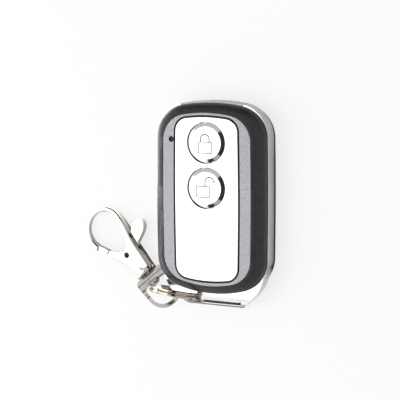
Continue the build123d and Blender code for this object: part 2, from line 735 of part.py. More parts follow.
# Clasp axes: x from the claw to the loop, y across, z out of the clasp's front
azimuth = radians(CLASP_AZIMUTH)
level = sqrt(1 - CLASP_RISE**2)
clasp_x = Vector(cos(azimuth) * level, sin(azimuth) * level, CLASP_RISE)
clasp_y = Vector(-sin(azimuth), cos(azimuth), 0)
clasp_origin = Vector(-BODY_HALF_WIDTH - CLASP_OUT, BAR_BOTTOM + CLASP_UP, CLASP_Z)
clasp_plane = Plane(origin=clasp_origin, x_dir=clasp_x, z_dir=clasp_x.cross(clasp_y))
claw_plane = Plane(
    origin=clasp_origin + clasp_y * CLAW_OFFSET, x_dir=clasp_x, z_dir=clasp_plane.z_dir
)
clasp_side = Plane(origin=clasp_origin, x_dir=clasp_x, z_dir=clasp_y * -1)
clasp_axis = Axis(clasp_origin, clasp_x)
clasp_normal = Axis(clasp_origin, clasp_plane.z_dir)
collar_end = -SWIVEL_GAP / 2
saddle_start = SWIVEL_GAP / 2
saddle_end = saddle_start + SADDLE_DEPTH
loop_y = clasp_y * cos(radians(LOOP_ROLL)) + clasp_plane.z_dir * -sin(radians(LOOP_ROLL))
loop_plane = Plane(origin=clasp_origin, x_dir=clasp_x, z_dir=clasp_x.cross(loop_y))
loop_side = Plane(origin=clasp_origin, x_dir=clasp_x, z_dir=loop_y * -1)


def swivel_station(along):
    """Plane square to the swivel axis, that far along it."""
    return Plane(origin=clasp_origin + clasp_x * along, x_dir=clasp_y, z_dir=clasp_x)


def loop_outline(inset, start, start_half_width, shoulder_length):
    """D-shaped face: a straight top, two legs and a half round end, in the open sketch."""
    half = LOOP_RADIUS - inset
    bend = LOOP_LENGTH - LOOP_RADIUS
    shoulder = start + shoulder_length
    with BuildLine() as outline:
        Line((start, -start_half_width), (start, start_half_width))
        turn = ThreePointArc(
            (start, start_half_width),
            (start + 0.3 * shoulder_length, (start_half_width + 2 * half) / 3),
            (shoulder, half),
        )
        Line(turn @ 1, (bend, half))
        ThreePointArc((bend, half), (bend + half, 0), (bend, -half))
        Line((bend, -half), (shoulder, -half))
        ThreePointArc(
            (shoulder, -half),
            (start + 0.3 * shoulder_length, -(start_half_width + 2 * half) / 3),
            (start, -start_half_width),
        )
    make_face(outline.edges())


def saddle_profile():
    """Side view of the loop: thick at the saddle, thinning to the bow's wire."""
    with BuildLine() as outline:
        upper = Spline(
            (saddle_start, SADDLE_HALF_THICKNESS - 0.3),
            (saddle_start + SADDLE_DEPTH / 2, SADDLE_HALF_THICKNESS),
            (saddle_end + 0.4, SADDLE_HALF_THICKNESS - 0.6),
            (saddle_end + 2.2, LOOP_WIRE / 2 + 0.3),
            (saddle_end + 4.2, LOOP_WIRE / 2),
            tangents=[(1, 0.4), (1, 0)],
        )
        Polyline(
            upper @ 1,
            (LOOP_LENGTH, LOOP_WIRE / 2),
            (LOOP_LENGTH, 0),
            (saddle_start, 0),
            upper @ 0,
        )
    half_side = make_face(outline.edges())
    mirror(half_side, about=Plane.XZ)


# Swivel loop: broad saddle round the pin, then a thin round-ended bow
with BuildPart() as swivel_loop:
    with BuildSketch(loop_plane):
        loop_outline(0, saddle_start, SADDLE_HALF_WIDTH, SADDLE_SHOULDER)
    extrude(amount=SADDLE_HALF_THICKNESS, both=True)
    with BuildSketch(loop_side):
        saddle_profile()
    extrude(amount=2 * LOOP_RADIUS, both=True, mode=Mode.INTERSECT)
    with BuildSketch(loop_plane):
        loop_outline(LOOP_WIRE, saddle_end, SADDLE_HALF_WIDTH - LOOP_WIRE, ARCH_CORNER)
    extrude(amount=2 * SADDLE_HALF_THICKNESS, both=True, mode=Mode.SUBTRACT)
    with BuildSketch(swivel_station(0)):
        Circle(PIN_DIAMETER / 2 + PIN_CLEARANCE)
    extrude(amount=saddle_end + 1, mode=Mode.SUBTRACT)
swivel_loop.part.label = "swivel_loop"
export_step(swivel_loop.part, "parts/swivel_loop.step")

# Swivel pin: shank through the saddle into the claw's collar, with a domed head
head_start = saddle_end + PIN_CLEARANCE
head_radius = PIN_HEAD_DIAMETER / 2
dome_radius = (head_radius**2 + PIN_HEAD_HEIGHT**2) / (2 * PIN_HEAD_HEIGHT)
dome_centre = head_start + PIN_HEAD_HEIGHT - dome_radius
dome_lift = head_radius / 2
with BuildPart() as swivel_pin:
    with BuildSketch(clasp_side):
        with BuildLine():
            dome = ThreePointArc(
                (head_start, head_radius),
                (dome_centre + sqrt(dome_radius**2 - dome_lift**2), dome_lift),
                (head_start + PIN_HEAD_HEIGHT, 0),
            )
            Polyline(
                dome @ 1,
                (-PIN_TAIL, 0),
                (-PIN_TAIL, PIN_DIAMETER / 2),
                (head_start, PIN_DIAMETER / 2),
                dome @ 0,
            )
        make_face()
    revolve(axis=clasp_axis)
swivel_pin.part.label = "swivel_pin"
export_step(swivel_pin.part, "parts/swivel_pin.step")


def round_about_pivot(radius, y):
    """Point at that height across the clasp on a circle round the gate's pivot, hook side."""
    return (PIVOT_X - sqrt(radius**2 - (y - PIVOT_Y) ** 2), y)


def claw_outline():
    """Hook, arm and body of the claw as one face, open where the gate closes it."""
    inner = HOOK_RADIUS - HOOK_WIRE
    tip_radius = GATE_TIP_RADIUS + GATE_TIP_GAP
    tip_inner = round_about_pivot(tip_radius, HOOK_CENTRE_Y - inner + 0.3)
    tip_outer = round_about_pivot(tip_radius, HOOK_CENTRE_Y - HOOK_RADIUS + 0.55)
    crown_top = (HOOK_CENTRE_X, HOOK_CENTRE_Y + HOOK_RADIUS)
    crown_bottom = (HOOK_CENTRE_X, HOOK_CENTRE_Y - HOOK_RADIUS)
    with BuildLine() as outline:
        arm = Spline(
            *ARM_CURVE,
            crown_top,
            tangents=[(-1, 0), (-1, 0)],
        )
        crown = ThreePointArc(arm @ 1, (HOOK_CENTRE_X - HOOK_RADIUS, HOOK_CENTRE_Y), crown_bottom)
        heel = Spline(crown @ 1, tip_outer, tangents=[(1, 0), (1, 0.45)])
        tip = Line(heel @ 1, tip_inner)
        toe = Line(tip @ 1, (HOOK_CENTRE_X, HOOK_CENTRE_Y - inner))
        hollow = ThreePointArc(
            toe @ 1,
            (HOOK_CENTRE_X - inner, HOOK_CENTRE_Y),
            (HOOK_CENTRE_X, HOOK_CENTRE_Y + inner),
        )
        throat = Spline(
            hollow @ 1,
            *THROAT_CURVE,
            tangents=[(1, 0), (0.05, -1)],
        )
        lip = Polyline(throat @ 1, (LIP_X, LIP_Y + 0.9), (LIP_X, LIP_Y), (LIP_X + 1.4, LIP_Y))
        belly = Spline(lip @ 1, *BELLY_CURVE)
        Line(belly @ 1, arm @ 0)
    make_face(outline.edges())


def thickness_profile():
    """Side view of the claw: full at the body, thinning along the arm to the hook."""
    far = HOOK_CENTRE_X - HOOK_RADIUS - 1
    with BuildLine() as outline:
        top = Spline(
            (0, BODY_HALF_THICKNESS),
            (TAPER_START_X, BODY_HALF_THICKNESS),
            (TAPER_MIDDLE_X, (BODY_HALF_THICKNESS + HOOK_HALF_THICKNESS) / 2 + 0.1),
            (TAPER_END_X, HOOK_HALF_THICKNESS + 0.2),
            (far, HOOK_HALF_THICKNESS),
            tangents=[(-1, 0), (-1, 0.02)],
        )
        Polyline(top @ 1, (far, 0), (0, 0), (0, BODY_HALF_THICKNESS))
    half_side = make_face(outline.edges())
    mirror(half_side, about=Plane.XZ)


slot_half = GATE_TAB / 2 + GATE_SIDE_CLEARANCE

# Claw: hook and body in one casting, with the collar of the swivel
with BuildPart() as claw:
    with BuildSketch(claw_plane):
        claw_outline()
    extrude(amount=BODY_HALF_THICKNESS + 1, both=True)
    with BuildSketch(clasp_side):
        thickness_profile()
    extrude(amount=4 * HOOK_RADIUS, both=True, mode=Mode.INTERSECT)
    chamfer(claw.edges().filter_by(clasp_normal, reverse=True), CLAW_EDGE)
    with BuildSketch(clasp_side):
        with BuildLine():
            neck = Spline(
                (collar_end - COLLAR_THICKNESS - NECK_LENGTH, NECK_RADIUS - 0.35),
                (collar_end - COLLAR_THICKNESS - NECK_LENGTH / 2, NECK_RADIUS),
                (collar_end - COLLAR_THICKNESS, NECK_RADIUS + 0.45),
                tangents=[(1, 0.05), (1, 0.6)],
            )
            Polyline(
                neck @ 1,
                (collar_end - COLLAR_THICKNESS, COLLAR_RADIUS - COLLAR_ROUND),
                (collar_end - COLLAR_THICKNESS + COLLAR_ROUND, COLLAR_RADIUS),
                (collar_end - COLLAR_ROUND, COLLAR_RADIUS),
                (collar_end, COLLAR_RADIUS - COLLAR_ROUND),
                (collar_end, 0),
                (collar_end - COLLAR_THICKNESS - NECK_LENGTH, 0),
                neck @ 0,
            )
        make_face()
    revolve(axis=clasp_axis)
    with BuildSketch(swivel_station(-PIN_TAIL)):
        Circle(PIN_DIAMETER / 2)
    extrude(amount=PIN_TAIL, mode=Mode.SUBTRACT)
    with BuildSketch(claw_plane):
        Polygon(*SLOT_WALL, *SLOT_MOUTH, align=None)
    extrude(amount=slot_half, both=True, mode=Mode.SUBTRACT)
    with BuildSketch(claw_plane):
        with Locations((PIVOT_X, PIVOT_Y)):
            Circle(PIVOT_DIAMETER / 2)
    extrude(amount=2 * BODY_HALF_THICKNESS, both=True, mode=Mode.SUBTRACT)
    for side in (1, -1):
        with BuildSketch(claw_plane.offset(side * BODY_HALF_THICKNESS)):
            with Locations((PIVOT_X, PIVOT_Y)):
                Circle(RIVET_SINK_DIAMETER / 2)
        extrude(amount=-side * RIVET_HEAD_HEIGHT, mode=Mode.SUBTRACT)
claw.part.label = "claw_body"
export_step(claw.part, "parts/claw_body.step")

# Gate: closing arm, pivot tab in the claw's slot, and solid thumb tab
with BuildPart() as gate:
    with BuildSketch(claw_plane):
        with Locations((PIVOT_X, PIVOT_Y)):
            Circle(GATE_DISC_RADIUS)
        Polygon(*GATE_WEB, align=None)
        Polygon(*GATE_NECK, align=None)
    extrude(amount=GATE_TAB / 2, both=True)
    with BuildSketch(claw_plane):
        Polygon(
            round_about_pivot(GATE_TIP_RADIUS, GATE_TIP_TOP),
            *GATE_BACK,
            round_about_pivot(GATE_TIP_RADIUS, GATE_TIP_BOTTOM),
            align=None,
        )
    extrude(amount=GATE_WIDTH / 2, both=True)
    with BuildSketch(claw_plane):
        with BuildLine():
            ear = Spline(*THUMB_CURVE)
            Line(ear @ 1, ear @ 0)
        make_face()
    extrude(amount=GATE_WIDTH / 2, both=True)
    with BuildSketch(claw_plane):
        with Locations((PIVOT_X, PIVOT_Y)):
            Circle(PIVOT_DIAMETER / 2 + PIN_CLEARANCE)
    extrude(amount=2 * BODY_HALF_THICKNESS, both=True, mode=Mode.SUBTRACT)
gate.part.label = "gate_lever"
export_step(gate.part, "parts/gate_lever.step")

# Rivet on which the gate turns, its low heads in shallow round seats
with BuildPart() as gate_rivet:
    with BuildSketch(claw_plane):
        with Locations((PIVOT_X, PIVOT_Y)):
            Circle(PIVOT_DIAMETER / 2)
    extrude(amount=BODY_HALF_THICKNESS - RIVET_HEAD_HEIGHT, both=True)
    for side in (1, -1):
        with BuildSketch(claw_plane.offset(side * (BODY_HALF_THICKNESS - RIVET_HEAD_HEIGHT))):
            with Locations((PIVOT_X, PIVOT_Y)):
                Circle(RIVET_HEAD_DIAMETER / 2)
        extrude(amount=side * RIVET_HEAD_HEIGHT, taper=20)
gate_rivet.part.label = "gate_rivet"
export_step(gate_rivet.part, "parts/gate_rivet.step")

# Bent leaf spring between the end of the slot and the thumb tab's root
with BuildPart() as gate_spring:
    with BuildSketch(claw_plane):
        with BuildLine():
            bent = Polyline(*SPRING_BEND)
        trace(bent, line_width=SPRING_STRIP)
    extrude(amount=GATE_TAB / 2 - GATE_SIDE_CLEARANCE, both=True)
gate_spring.part.label = "gate_spring"
export_step(gate_spring.part, "parts/gate_spring.step")
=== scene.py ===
"""Looks of a two-button key-fob remote with a split ring and a swivel lobster clasp."""
import bpy
import bmesh
import json
import math
from mathutils import Matrix, Vector


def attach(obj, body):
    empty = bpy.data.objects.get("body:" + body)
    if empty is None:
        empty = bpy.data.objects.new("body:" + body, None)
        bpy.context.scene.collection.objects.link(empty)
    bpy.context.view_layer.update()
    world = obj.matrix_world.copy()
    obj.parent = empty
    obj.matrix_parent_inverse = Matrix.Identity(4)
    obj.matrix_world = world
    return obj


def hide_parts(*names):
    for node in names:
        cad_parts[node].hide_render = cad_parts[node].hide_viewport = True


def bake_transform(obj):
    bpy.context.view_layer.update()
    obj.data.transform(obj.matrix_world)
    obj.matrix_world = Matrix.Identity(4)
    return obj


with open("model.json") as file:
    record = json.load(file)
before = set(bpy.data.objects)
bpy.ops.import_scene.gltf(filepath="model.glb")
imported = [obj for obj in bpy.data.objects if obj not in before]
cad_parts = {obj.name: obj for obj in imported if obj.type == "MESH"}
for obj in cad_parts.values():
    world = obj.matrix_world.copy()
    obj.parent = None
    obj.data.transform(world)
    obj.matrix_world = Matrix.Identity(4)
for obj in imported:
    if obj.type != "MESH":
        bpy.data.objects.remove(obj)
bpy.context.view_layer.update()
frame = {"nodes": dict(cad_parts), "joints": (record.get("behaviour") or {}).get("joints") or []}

# Sizes and places are in millimetres unless a comment says otherwise
MM = 0.001
SHARP_ANGLE = math.radians(35)
nodes = frame["nodes"]
joints = {joint["name"]: joint for joint in frame["joints"]}
scene = bpy.context.scene

# The clasp's own directions, from its joints: along the swivel, across it, and out of its front
CLASP_FRONT = -Vector(joints["gate_open"]["axis"])
CLAW_X = Vector(joints["claw_swivel"]["axis"])
CLAW_Y = CLASP_FRONT.cross(CLAW_X)


class Shader:
    """Short helpers for the nodes of a material or of the world."""

    def __init__(self, tree):
        self.tree = tree

    def node(self, kind, **values):
        made = self.tree.nodes.new(kind)
        for key, value in values.items():
            setattr(made, key, value)
        return made

    def link(self, a, b):
        self.tree.links.new(a, b)

    def calc(self, kind, *values, clamp=False):
        """Arithmetic on values and numbers."""
        made = self.node("ShaderNodeMath", operation=kind, use_clamp=clamp)
        for socket, value in zip(made.inputs, values):
            if isinstance(value, (int, float)):
                socket.default_value = value
            else:
                self.link(value, socket)
        return made.outputs[0]

    def product(self, first, *others):
        """Values and numbers multiplied together."""
        for value in others:
            first = self.calc("MULTIPLY", first, value)
        return first

    def largest(self, first, *others):
        """The largest of some values."""
        for value in others:
            first = self.calc("MAXIMUM", first, value)
        return first

    def rest(self, value):
        """What a value leaves of 1."""
        return self.calc("SUBTRACT", 1.0, value)

    def dot(self, vector, fixed):
        """Length of a vector along a fixed direction."""
        made = self.node("ShaderNodeVectorMath", operation="DOT_PRODUCT")
        self.link(vector, made.inputs[0])
        made.inputs[1].default_value = fixed
        return made.outputs["Value"]

    def parts(self, vector):
        """The x, y and z of a vector."""
        made = self.node("ShaderNodeSeparateXYZ")
        self.link(vector, made.inputs[0])
        return made.outputs

    def spread(self, value, low, high, start=0.3, end=0.7, curve="LINEAR"):
        """Goes from low to high while a value goes from start to end, and stays there outside."""
        made = self.node("ShaderNodeMapRange", interpolation_type=curve)
        made.inputs["From Min"].default_value = start
        made.inputs["From Max"].default_value = end
        made.inputs["To Min"].default_value = low
        made.inputs["To Max"].default_value = high
        self.link(value, made.inputs["Value"])
        return made.outputs["Result"]

    def above(self, value, start, end):
        """Smooth step from 0 up to 1."""
        return self.spread(value, 0, 1, start, end, "SMOOTHSTEP")

    def below(self, value, start, end):
        """Smooth step from 1 down to 0."""
        return self.rest(self.above(value, start, end))

    def colour_mix(self, value, first, second):
        """Colour between two, which are typed or come from other nodes."""
        made = self.node("ShaderNodeMix", data_type="RGBA")
        self.link(value, made.inputs["Factor"])
        for place, colour in (("A", first), ("B", second)):
            if isinstance(colour, tuple):
                made.inputs[place].default_value = (*colour, 1)
            else:
                self.link(colour, made.inputs[place])
        return made.outputs["Result"]

    def surface_mix(self, value, first, second, output):
        """Mix of two shaders by a value, as the surface of a named output node."""
        made = self.node("ShaderNodeMixShader")
        self.link(value, made.inputs[0])
        self.link(first, made.inputs[1])
        self.link(second, made.inputs[2])
        self.link(made.outputs[0], self.tree.nodes[output].inputs["Surface"])


class Mat(Shader):
    """A material with procedural colour, roughness and bump."""

    def __init__(self, name, color, metallic=0.0, rough=0.4, spec=0.5, coat=0.0):
        self.mat = bpy.data.materials.new(name)
        self.mat.use_nodes = True
        super().__init__(self.mat.node_tree)
        self.bsdf = self.tree.nodes["Principled BSDF"]
        self.bsdf.inputs["Base Color"].default_value = (*color, 1)
        self.bsdf.inputs["Metallic"].default_value = metallic
        self.bsdf.inputs["Roughness"].default_value = rough
        self.bsdf.inputs["Specular IOR Level"].default_value = spec
        self.bsdf.inputs["Coat Weight"].default_value = coat
        self.mat.diffuse_color = (*color, 1)
        self.coords = self.node("ShaderNodeTexCoord").outputs
        self.tone = None
        self.normal = None

    def place(self, stretch=(1, 1, 1)):
        """Object coordinates in metres, stretched along the axes."""
        mapping = self.node("ShaderNodeMapping")
        mapping.inputs["Scale"].default_value = stretch
        self.link(self.coords["Object"], mapping.inputs["Vector"])
        return mapping.outputs["Vector"]

    def noise(self, scale, detail=3.0, stretch=(1, 1, 1), rough=0.5):
        """Cloudy noise, its scale in waves per metre."""
        made = self.node("ShaderNodeTexNoise")
        made.inputs["Scale"].default_value = scale
        made.inputs["Detail"].default_value = detail
        made.inputs["Roughness"].default_value = rough
        self.link(self.place(stretch), made.inputs["Vector"])
        return made.outputs["Fac"]

    def mottle(self, value, dark, light):
        """Base colour between two, by a value."""
        self.tone = self.colour_mix(value, dark, light)
        self.link(self.tone, self.bsdf.inputs["Base Color"])

    def vary_rough(self, value, low, high):
        """Roughness between two, by a value."""
        self.link(self.spread(value, low, high), self.bsdf.inputs["Roughness"])

    def bump(self, value, distance, strength=0.5):
        """Relief by a value, its height in metres, added to the relief before it."""
        made = self.node("ShaderNodeBump")
        made.inputs["Strength"].default_value = strength
        made.inputs["Distance"].default_value = distance
        self.link(value, made.inputs["Height"])
        if self.normal is not None:
            self.link(self.normal, made.inputs["Normal"])
        self.normal = made.outputs["Normal"]
        self.link(self.normal, self.bsdf.inputs["Normal"])


def plated(name, color, rough, wear=0.06, wave=0.12):
    """Bright plated metal: faint waviness, hair scratches and a slightly uneven tone."""
    metal = Mat(name, color, metallic=1.0, rough=rough)
    dark = tuple(c * (1 - 2 * wear) for c in color)
    light = tuple(min(1.0, c * (1 + wear)) for c in color)
    metal.mottle(metal.spread(metal.noise(260, 3), 0, 1), dark, light)
    metal.vary_rough(metal.noise(900, 4), rough * 0.7, rough * 1.5)
    metal.bump(metal.noise(180, 2), 0.00004, wave)
    metal.bump(metal.noise(2600, 2, (1, 0.08, 1)), 0.00001, 0.10)
    return metal


# Dark satin plastic of the two shells
shell = Mat("shell_charcoal", (0.026, 0.0262, 0.029), rough=0.36, spec=0.25)
shell.mottle(shell.spread(shell.noise(420, 4), 0, 1), (0.022, 0.0224, 0.025), (0.030, 0.0304, 0.034))
shell.vary_rough(shell.noise(900, 4), 0.30, 0.44)
shell.bump(shell.noise(5200, 3), 0.00003, 0.22)
shell.bump(shell.noise(1600, 2), 0.00002, 0.12)

# Plated metals outside
band = plated("band_chrome", (0.54, 0.525, 0.53), rough=0.12, wear=0.04)
ring_metal = plated("ring_nickel", (0.44, 0.385, 0.335), rough=0.11, wear=0.08)
clasp_nickel_and_reflections = plated("clasp_nickel", (0.54, 0.515, 0.49), rough=0.12, wear=0.04)
# Near-black rivet: painted shade, standing for the dark hollow inside a tubular rivet
rivet_shade_dark = plated("rivet_painted_shade", (0.012, 0.010, 0.009), rough=0.35, wear=0.1)
panel = plated("panel_mirror", (0.56, 0.56, 0.565), rough=0.10, wear=0.012, wave=0.03)
button_metal = plated("button_mirror", (0.55, 0.545, 0.54), rough=0.09, wear=0.02, wave=0.05)

# Painted reflections and painted shade along the flanks of the cast clasp, in lines: places from back (0) to
# front (1), with their tones
REFLECTION_BANDS_MIDDLE = Vector((-31.15, -20.28, 3.0))
REFLECTION_BANDS_HALF_DEPTH = 2.2
REFLECTION_BANDS_WANDER = 0.3
REFLECTION_BANDS_SHADE = (0.05, 0.04, 0.032)
REFLECTION_BANDS_LIGHT = (0.50, 0.47, 0.44)
PAINTED_REFLECTION_BANDS = [(0.29, 0.05), (0.36, 0.40), (0.43, 0.54), (0.50, 0.34), (0.60, 0.46), (0.70, 0.54), (0.78, 0.20),
         (0.86, 0.42)]
REFLECTION_BANDS_WARMTH = (1.0, 0.93, 0.86)


def paint_flank_reflections(metal):
    """Paints reflections and shade into the clasp's flanks, between its front and its back, in slightly
    wandering lines.
    """
    depth = metal.dot(metal.coords["Object"], CLASP_FRONT)
    depth = metal.calc("SUBTRACT", depth, REFLECTION_BANDS_MIDDLE.dot(CLASP_FRONT) * MM)
    wander = metal.spread(metal.noise(150, 2), -REFLECTION_BANDS_WANDER * MM, REFLECTION_BANDS_WANDER * MM)
    depth = metal.calc("ADD", depth, wander)
    ramp = metal.node("ShaderNodeValToRGB")
    stops = ramp.color_ramp.elements
    stops[0].color = (*REFLECTION_BANDS_SHADE, 1)
    stops[1].color = (*REFLECTION_BANDS_LIGHT, 1)
    for stop, tone in PAINTED_REFLECTION_BANDS:
        stops.new(stop).color = (*(tone * warmth for warmth in REFLECTION_BANDS_WARMTH), 1)
    metal.link(metal.spread(depth, 0, 1, -REFLECTION_BANDS_HALF_DEPTH * MM, REFLECTION_BANDS_HALF_DEPTH * MM), ramp.inputs["Fac"])
    facing = metal.calc("ABSOLUTE", metal.dot(metal.coords["Normal"], CLASP_FRONT))
    flank = metal.spread(facing, 1, 0, 0.25, 0.6)
    # Painted reflections and shade: on the flanks the ramp's tones take the place of the metal's own colour
    painted_reflections = metal.colour_mix(flank, metal.tone, ramp.outputs["Color"])
    metal.link(painted_reflections, metal.bsdf.inputs["Base Color"])


# The clasp's nickel gets painted reflections and painted shade on its flanks
paint_flank_reflections(clasp_nickel_and_reflections)

# Grey lacquer of the window that lets the radio out
window = Mat("window_lacquer", (0.30, 0.285, 0.28), metallic=0.4, rough=0.35)
window.mottle(window.spread(window.noise(500, 3), 0, 1), (0.27, 0.255, 0.25), (0.33, 0.315, 0.31))
window.vary_rough(window.noise(1200, 3), 0.14, 0.28)
window.bump(window.noise(300, 2), 0.00002, 0.15)

# Metallic paint of the bezel, with fine flakes
bezel = Mat("bezel_silver", (0.24, 0.24, 0.26), metallic=0.6, rough=0.5)
flake = bezel.noise(3600, 2, rough=0.7)
bezel.mottle(bezel.spread(flake, 0, 1, 0.35, 0.65), (0.17, 0.168, 0.18), (0.40, 0.395, 0.415))
bezel.vary_rough(bezel.noise(5200, 2), 0.36, 0.58)
bezel.bump(flake, 0.00002, 0.3)

# Smoked lens of the lamp
lens = Mat("lens_smoke", (0.012, 0.010, 0.012), rough=0.3, spec=0.15)
lens.mottle(lens.spread(lens.noise(1500, 2), 0, 1), (0.009, 0.008, 0.009), (0.016, 0.013, 0.015))
lens.bump(lens.noise(900, 2), 0.00002, 0.2)

# Duller metals of the screws, springs, contacts and resonator
steel = plated("screw_zinc", (0.5, 0.5, 0.52), rough=0.28, wear=0.1)
strip = plated("contact_nickel", (0.7, 0.69, 0.65), rough=0.3, wear=0.08)
can = plated("resonator_tin", (0.66, 0.66, 0.66), rough=0.3, wear=0.08)

# Circuit board, with its weave faintly showing
board = Mat("board_green", (0.02, 0.11, 0.05), rough=0.35)
weave = board.node("ShaderNodeTexChecker")
weave.inputs["Scale"].default_value = 2500
weave.inputs["Color1"].default_value = (0.022, 0.12, 0.055, 1)
weave.inputs["Color2"].default_value = (0.017, 0.10, 0.045, 1)
board.link(board.place(), weave.inputs["Vector"])
board.link(weave.outputs["Color"], board.bsdf.inputs["Base Color"])
board.bump(weave.outputs["Fac"], 0.00001, 0.2)

# Rubber pads under the buttons
rubber = Mat("pad_rubber", (0.10, 0.10, 0.105), rough=0.75)
rubber.mottle(rubber.spread(rubber.noise(900, 4), 0, 1), (0.08, 0.08, 0.085), (0.13, 0.13, 0.135))
rubber.bump(rubber.noise(4000, 3), 0.00003, 0.3)

# Black moulded plastic of the switches, their plungers and the chip, and painted shade on the sheet in the
# foot's slot
black_and_slot_shade = Mat("black_moulded_and_slot_shade", (0.02, 0.02, 0.021), rough=0.5, spec=0.15)
black_and_slot_shade.mottle(black_and_slot_shade.spread(black_and_slot_shade.noise(900, 3), 0, 1), (0.016, 0.016, 0.017), (0.03, 0.03, 0.031))
black_and_slot_shade.bump(black_and_slot_shade.noise(5000, 3), 0.00002, 0.25)

# Cream body of the lamp
lamp = Mat("lamp_cream", (0.75, 0.70, 0.55), rough=0.35)
lamp.mottle(lamp.spread(lamp.noise(1500, 2), 0, 1), (0.68, 0.62, 0.45), (0.82, 0.78, 0.65))
lamp.bump(lamp.noise(3000, 2), 0.00001, 0.2)

# Shrunk sleeve of the battery, its clouds drawn out across the remote
sleeve = Mat("cell_sleeve", (0.45, 0.30, 0.06), rough=0.3, coat=0.3)
sleeve.mottle(sleeve.spread(sleeve.noise(200, 3, (0.2, 1, 1)), 0, 1), (0.40, 0.26, 0.05), (0.52, 0.36, 0.09))
sleeve.bump(sleeve.noise(800, 2), 0.00002, 0.15)

# Dark grey of the icons on the buttons: painted shade along their embossed outlines
icon_shade = Mat("icon_painted_shade", (0.10, 0.10, 0.10), rough=0.55, spec=0.2)
icon_shade.mottle(icon_shade.spread(icon_shade.noise(3000, 2), 0, 1), (0.07, 0.07, 0.07), (0.14, 0.14, 0.14))
icon_shade.bump(icon_shade.noise(4000, 2), 0.00001, 0.2)

# Look of every solid
finish = {
    "back_cover": shell, "front_shell": shell, "chrome_frame": band, "antenna_window": window,
    "front_bezel": bezel, "front_panel": panel, "lock_button": button_metal,
    "unlock_button": button_metal, "lock_pad": rubber, "unlock_pad": rubber,
    "lock_plunger": black_and_slot_shade, "unlock_plunger": black_and_slot_shade, "lock_switch": black_and_slot_shade, "unlock_switch": black_and_slot_shade,
    "circuit_board": board, "status_led": lamp, "led_lens": lens, "encoder_chip": black_and_slot_shade,
    "saw_resonator": can, "battery": sleeve, "positive_contact": strip, "negative_contact": strip,
    "case_screws": steel, "split_ring": ring_metal, "swivel_loop": clasp_nickel_and_reflections,
    "swivel_pin": clasp_nickel_and_reflections, "claw_body": clasp_nickel_and_reflections, "gate_lever": clasp_nickel_and_reflections,
    "gate_rivet": rivet_shade_dark, "gate_spring": steel,
}
for name, look in finish.items():
    obj = nodes[name]
    if not obj.data.materials:
        obj.data.materials.append(look.mat)
    for place in obj.material_slots:
        place.material = look.mat


def show(name, data, look=None):
    """New object in the scene, with its look if it has one."""
    made = bpy.data.objects.new(name, data)
    scene.collection.objects.link(made)
    if look:
        data.materials.append(look.mat)
    return made


# Pale floor, on which the camera sees only a faint shadow
FLOOR_HALF = 900
FLOOR_SEEN_GLOW = 0.75
FLOOR_GLOSSY_GLOW = 0.3
floor_look = Mat("studio_floor", (0.97, 0.97, 0.97), rough=0.9, spec=0.0)
floor_mesh = bpy.data.meshes.new("studio_floor")
far_out = FLOOR_HALF * MM
floor_corners = [(x * far_out, y * far_out, 0) for x, y in ((-1, -1), (1, -1), (1, 1), (-1, 1))]
floor_mesh.from_pydata(floor_corners, [], [(0, 1, 2, 3)])
floor = show("studio_floor", floor_mesh, floor_look)
floor_glow = floor_look.node("ShaderNodeEmission")
floor_rays = floor_look.node("ShaderNodeLightPath").outputs
floor_x, floor_y, _ = floor_look.parts(floor_look.place())


def floor_zone(x_rise=None, x_fall=None, y_rise=None, y_fall=None):
    """1 inside a zone of the floor and 0 outside; each soft edge is given by its two ends."""
    x_edges = (floor_x, x_rise, 0, 1), (floor_x, x_fall, 1, 0)
    y_edges = (floor_y, y_rise, 0, 1), (floor_y, y_fall, 1, 0)
    sides = [floor_look.spread(value, low, high, edge[0] * MM, edge[1] * MM)
             for value, edge, low, high in x_edges + y_edges if edge]
    return floor_look.product(*sides)


# Dark floor zones that only reflections see: in front, behind and under the right side
ALONG_BODY = {"y_rise": (-26, -22), "y_fall": (12, 24)}
ZONE_DARKNESS = 0.95
floor_glossy = floor_rays["Is Glossy Ray"]
dark_front = floor_zone(y_rise=(-64, -58), y_fall=(-53, -49))
dark_behind = floor_zone(y_rise=(38, 46))
dark_right = floor_zone(x_rise=(10, 12), x_fall=(19.2, 21.2), **ALONG_BODY)
dark_floor = floor_look.product(floor_look.largest(dark_front, dark_behind, dark_right), floor_glossy)

# Bright floor zones that only reflections see: at the left, below the foot and along the right side
ZONE_GLOW = 5.0
FOOT_SHARE = 0.12
RIGHT_SHARE = 0.14
bright_left = floor_zone(x_fall=(-26, -21), y_rise=(-12, 0))
bright_foot = floor_look.product(floor_zone(x_rise=(6, 9), y_rise=(-48, -44), y_fall=(-26, -22)), FOOT_SHARE)
bright_right = floor_look.product(floor_zone(x_rise=(20.8, 22.5), **ALONG_BODY), RIGHT_SHARE)
bright_floor = floor_look.product(floor_look.largest(bright_left, bright_foot, bright_right), floor_glossy)

# Glow of the floor: 1, less in the dark zones and more in the bright ones
extra = floor_look.product(floor_look.calc("SUBTRACT", bright_floor, dark_floor, clamp=True), ZONE_GLOW)
plain = floor_look.rest(floor_look.product(dark_floor, ZONE_DARKNESS))
floor_look.link(floor_look.calc("ADD", extra, plain), floor_glow.inputs["Strength"])

# Share of the floor's look that glows by itself; the rest is lit by the lamps and the studio
direct = floor_look.calc("ADD", floor_rays["Is Camera Ray"], floor_rays["Is Transmission Ray"], clamp=True)
direct = floor_look.product(direct, FLOOR_SEEN_GLOW)
mirrored = floor_look.product(floor_glossy, FLOOR_GLOSSY_GLOW)
share = floor_look.largest(floor_look.calc("ADD", direct, mirrored, clamp=True), dark_floor, bright_floor)
floor_look.surface_mix(share, floor_look.bsdf.outputs[0], floor_glow.outputs[0], "Material Output")

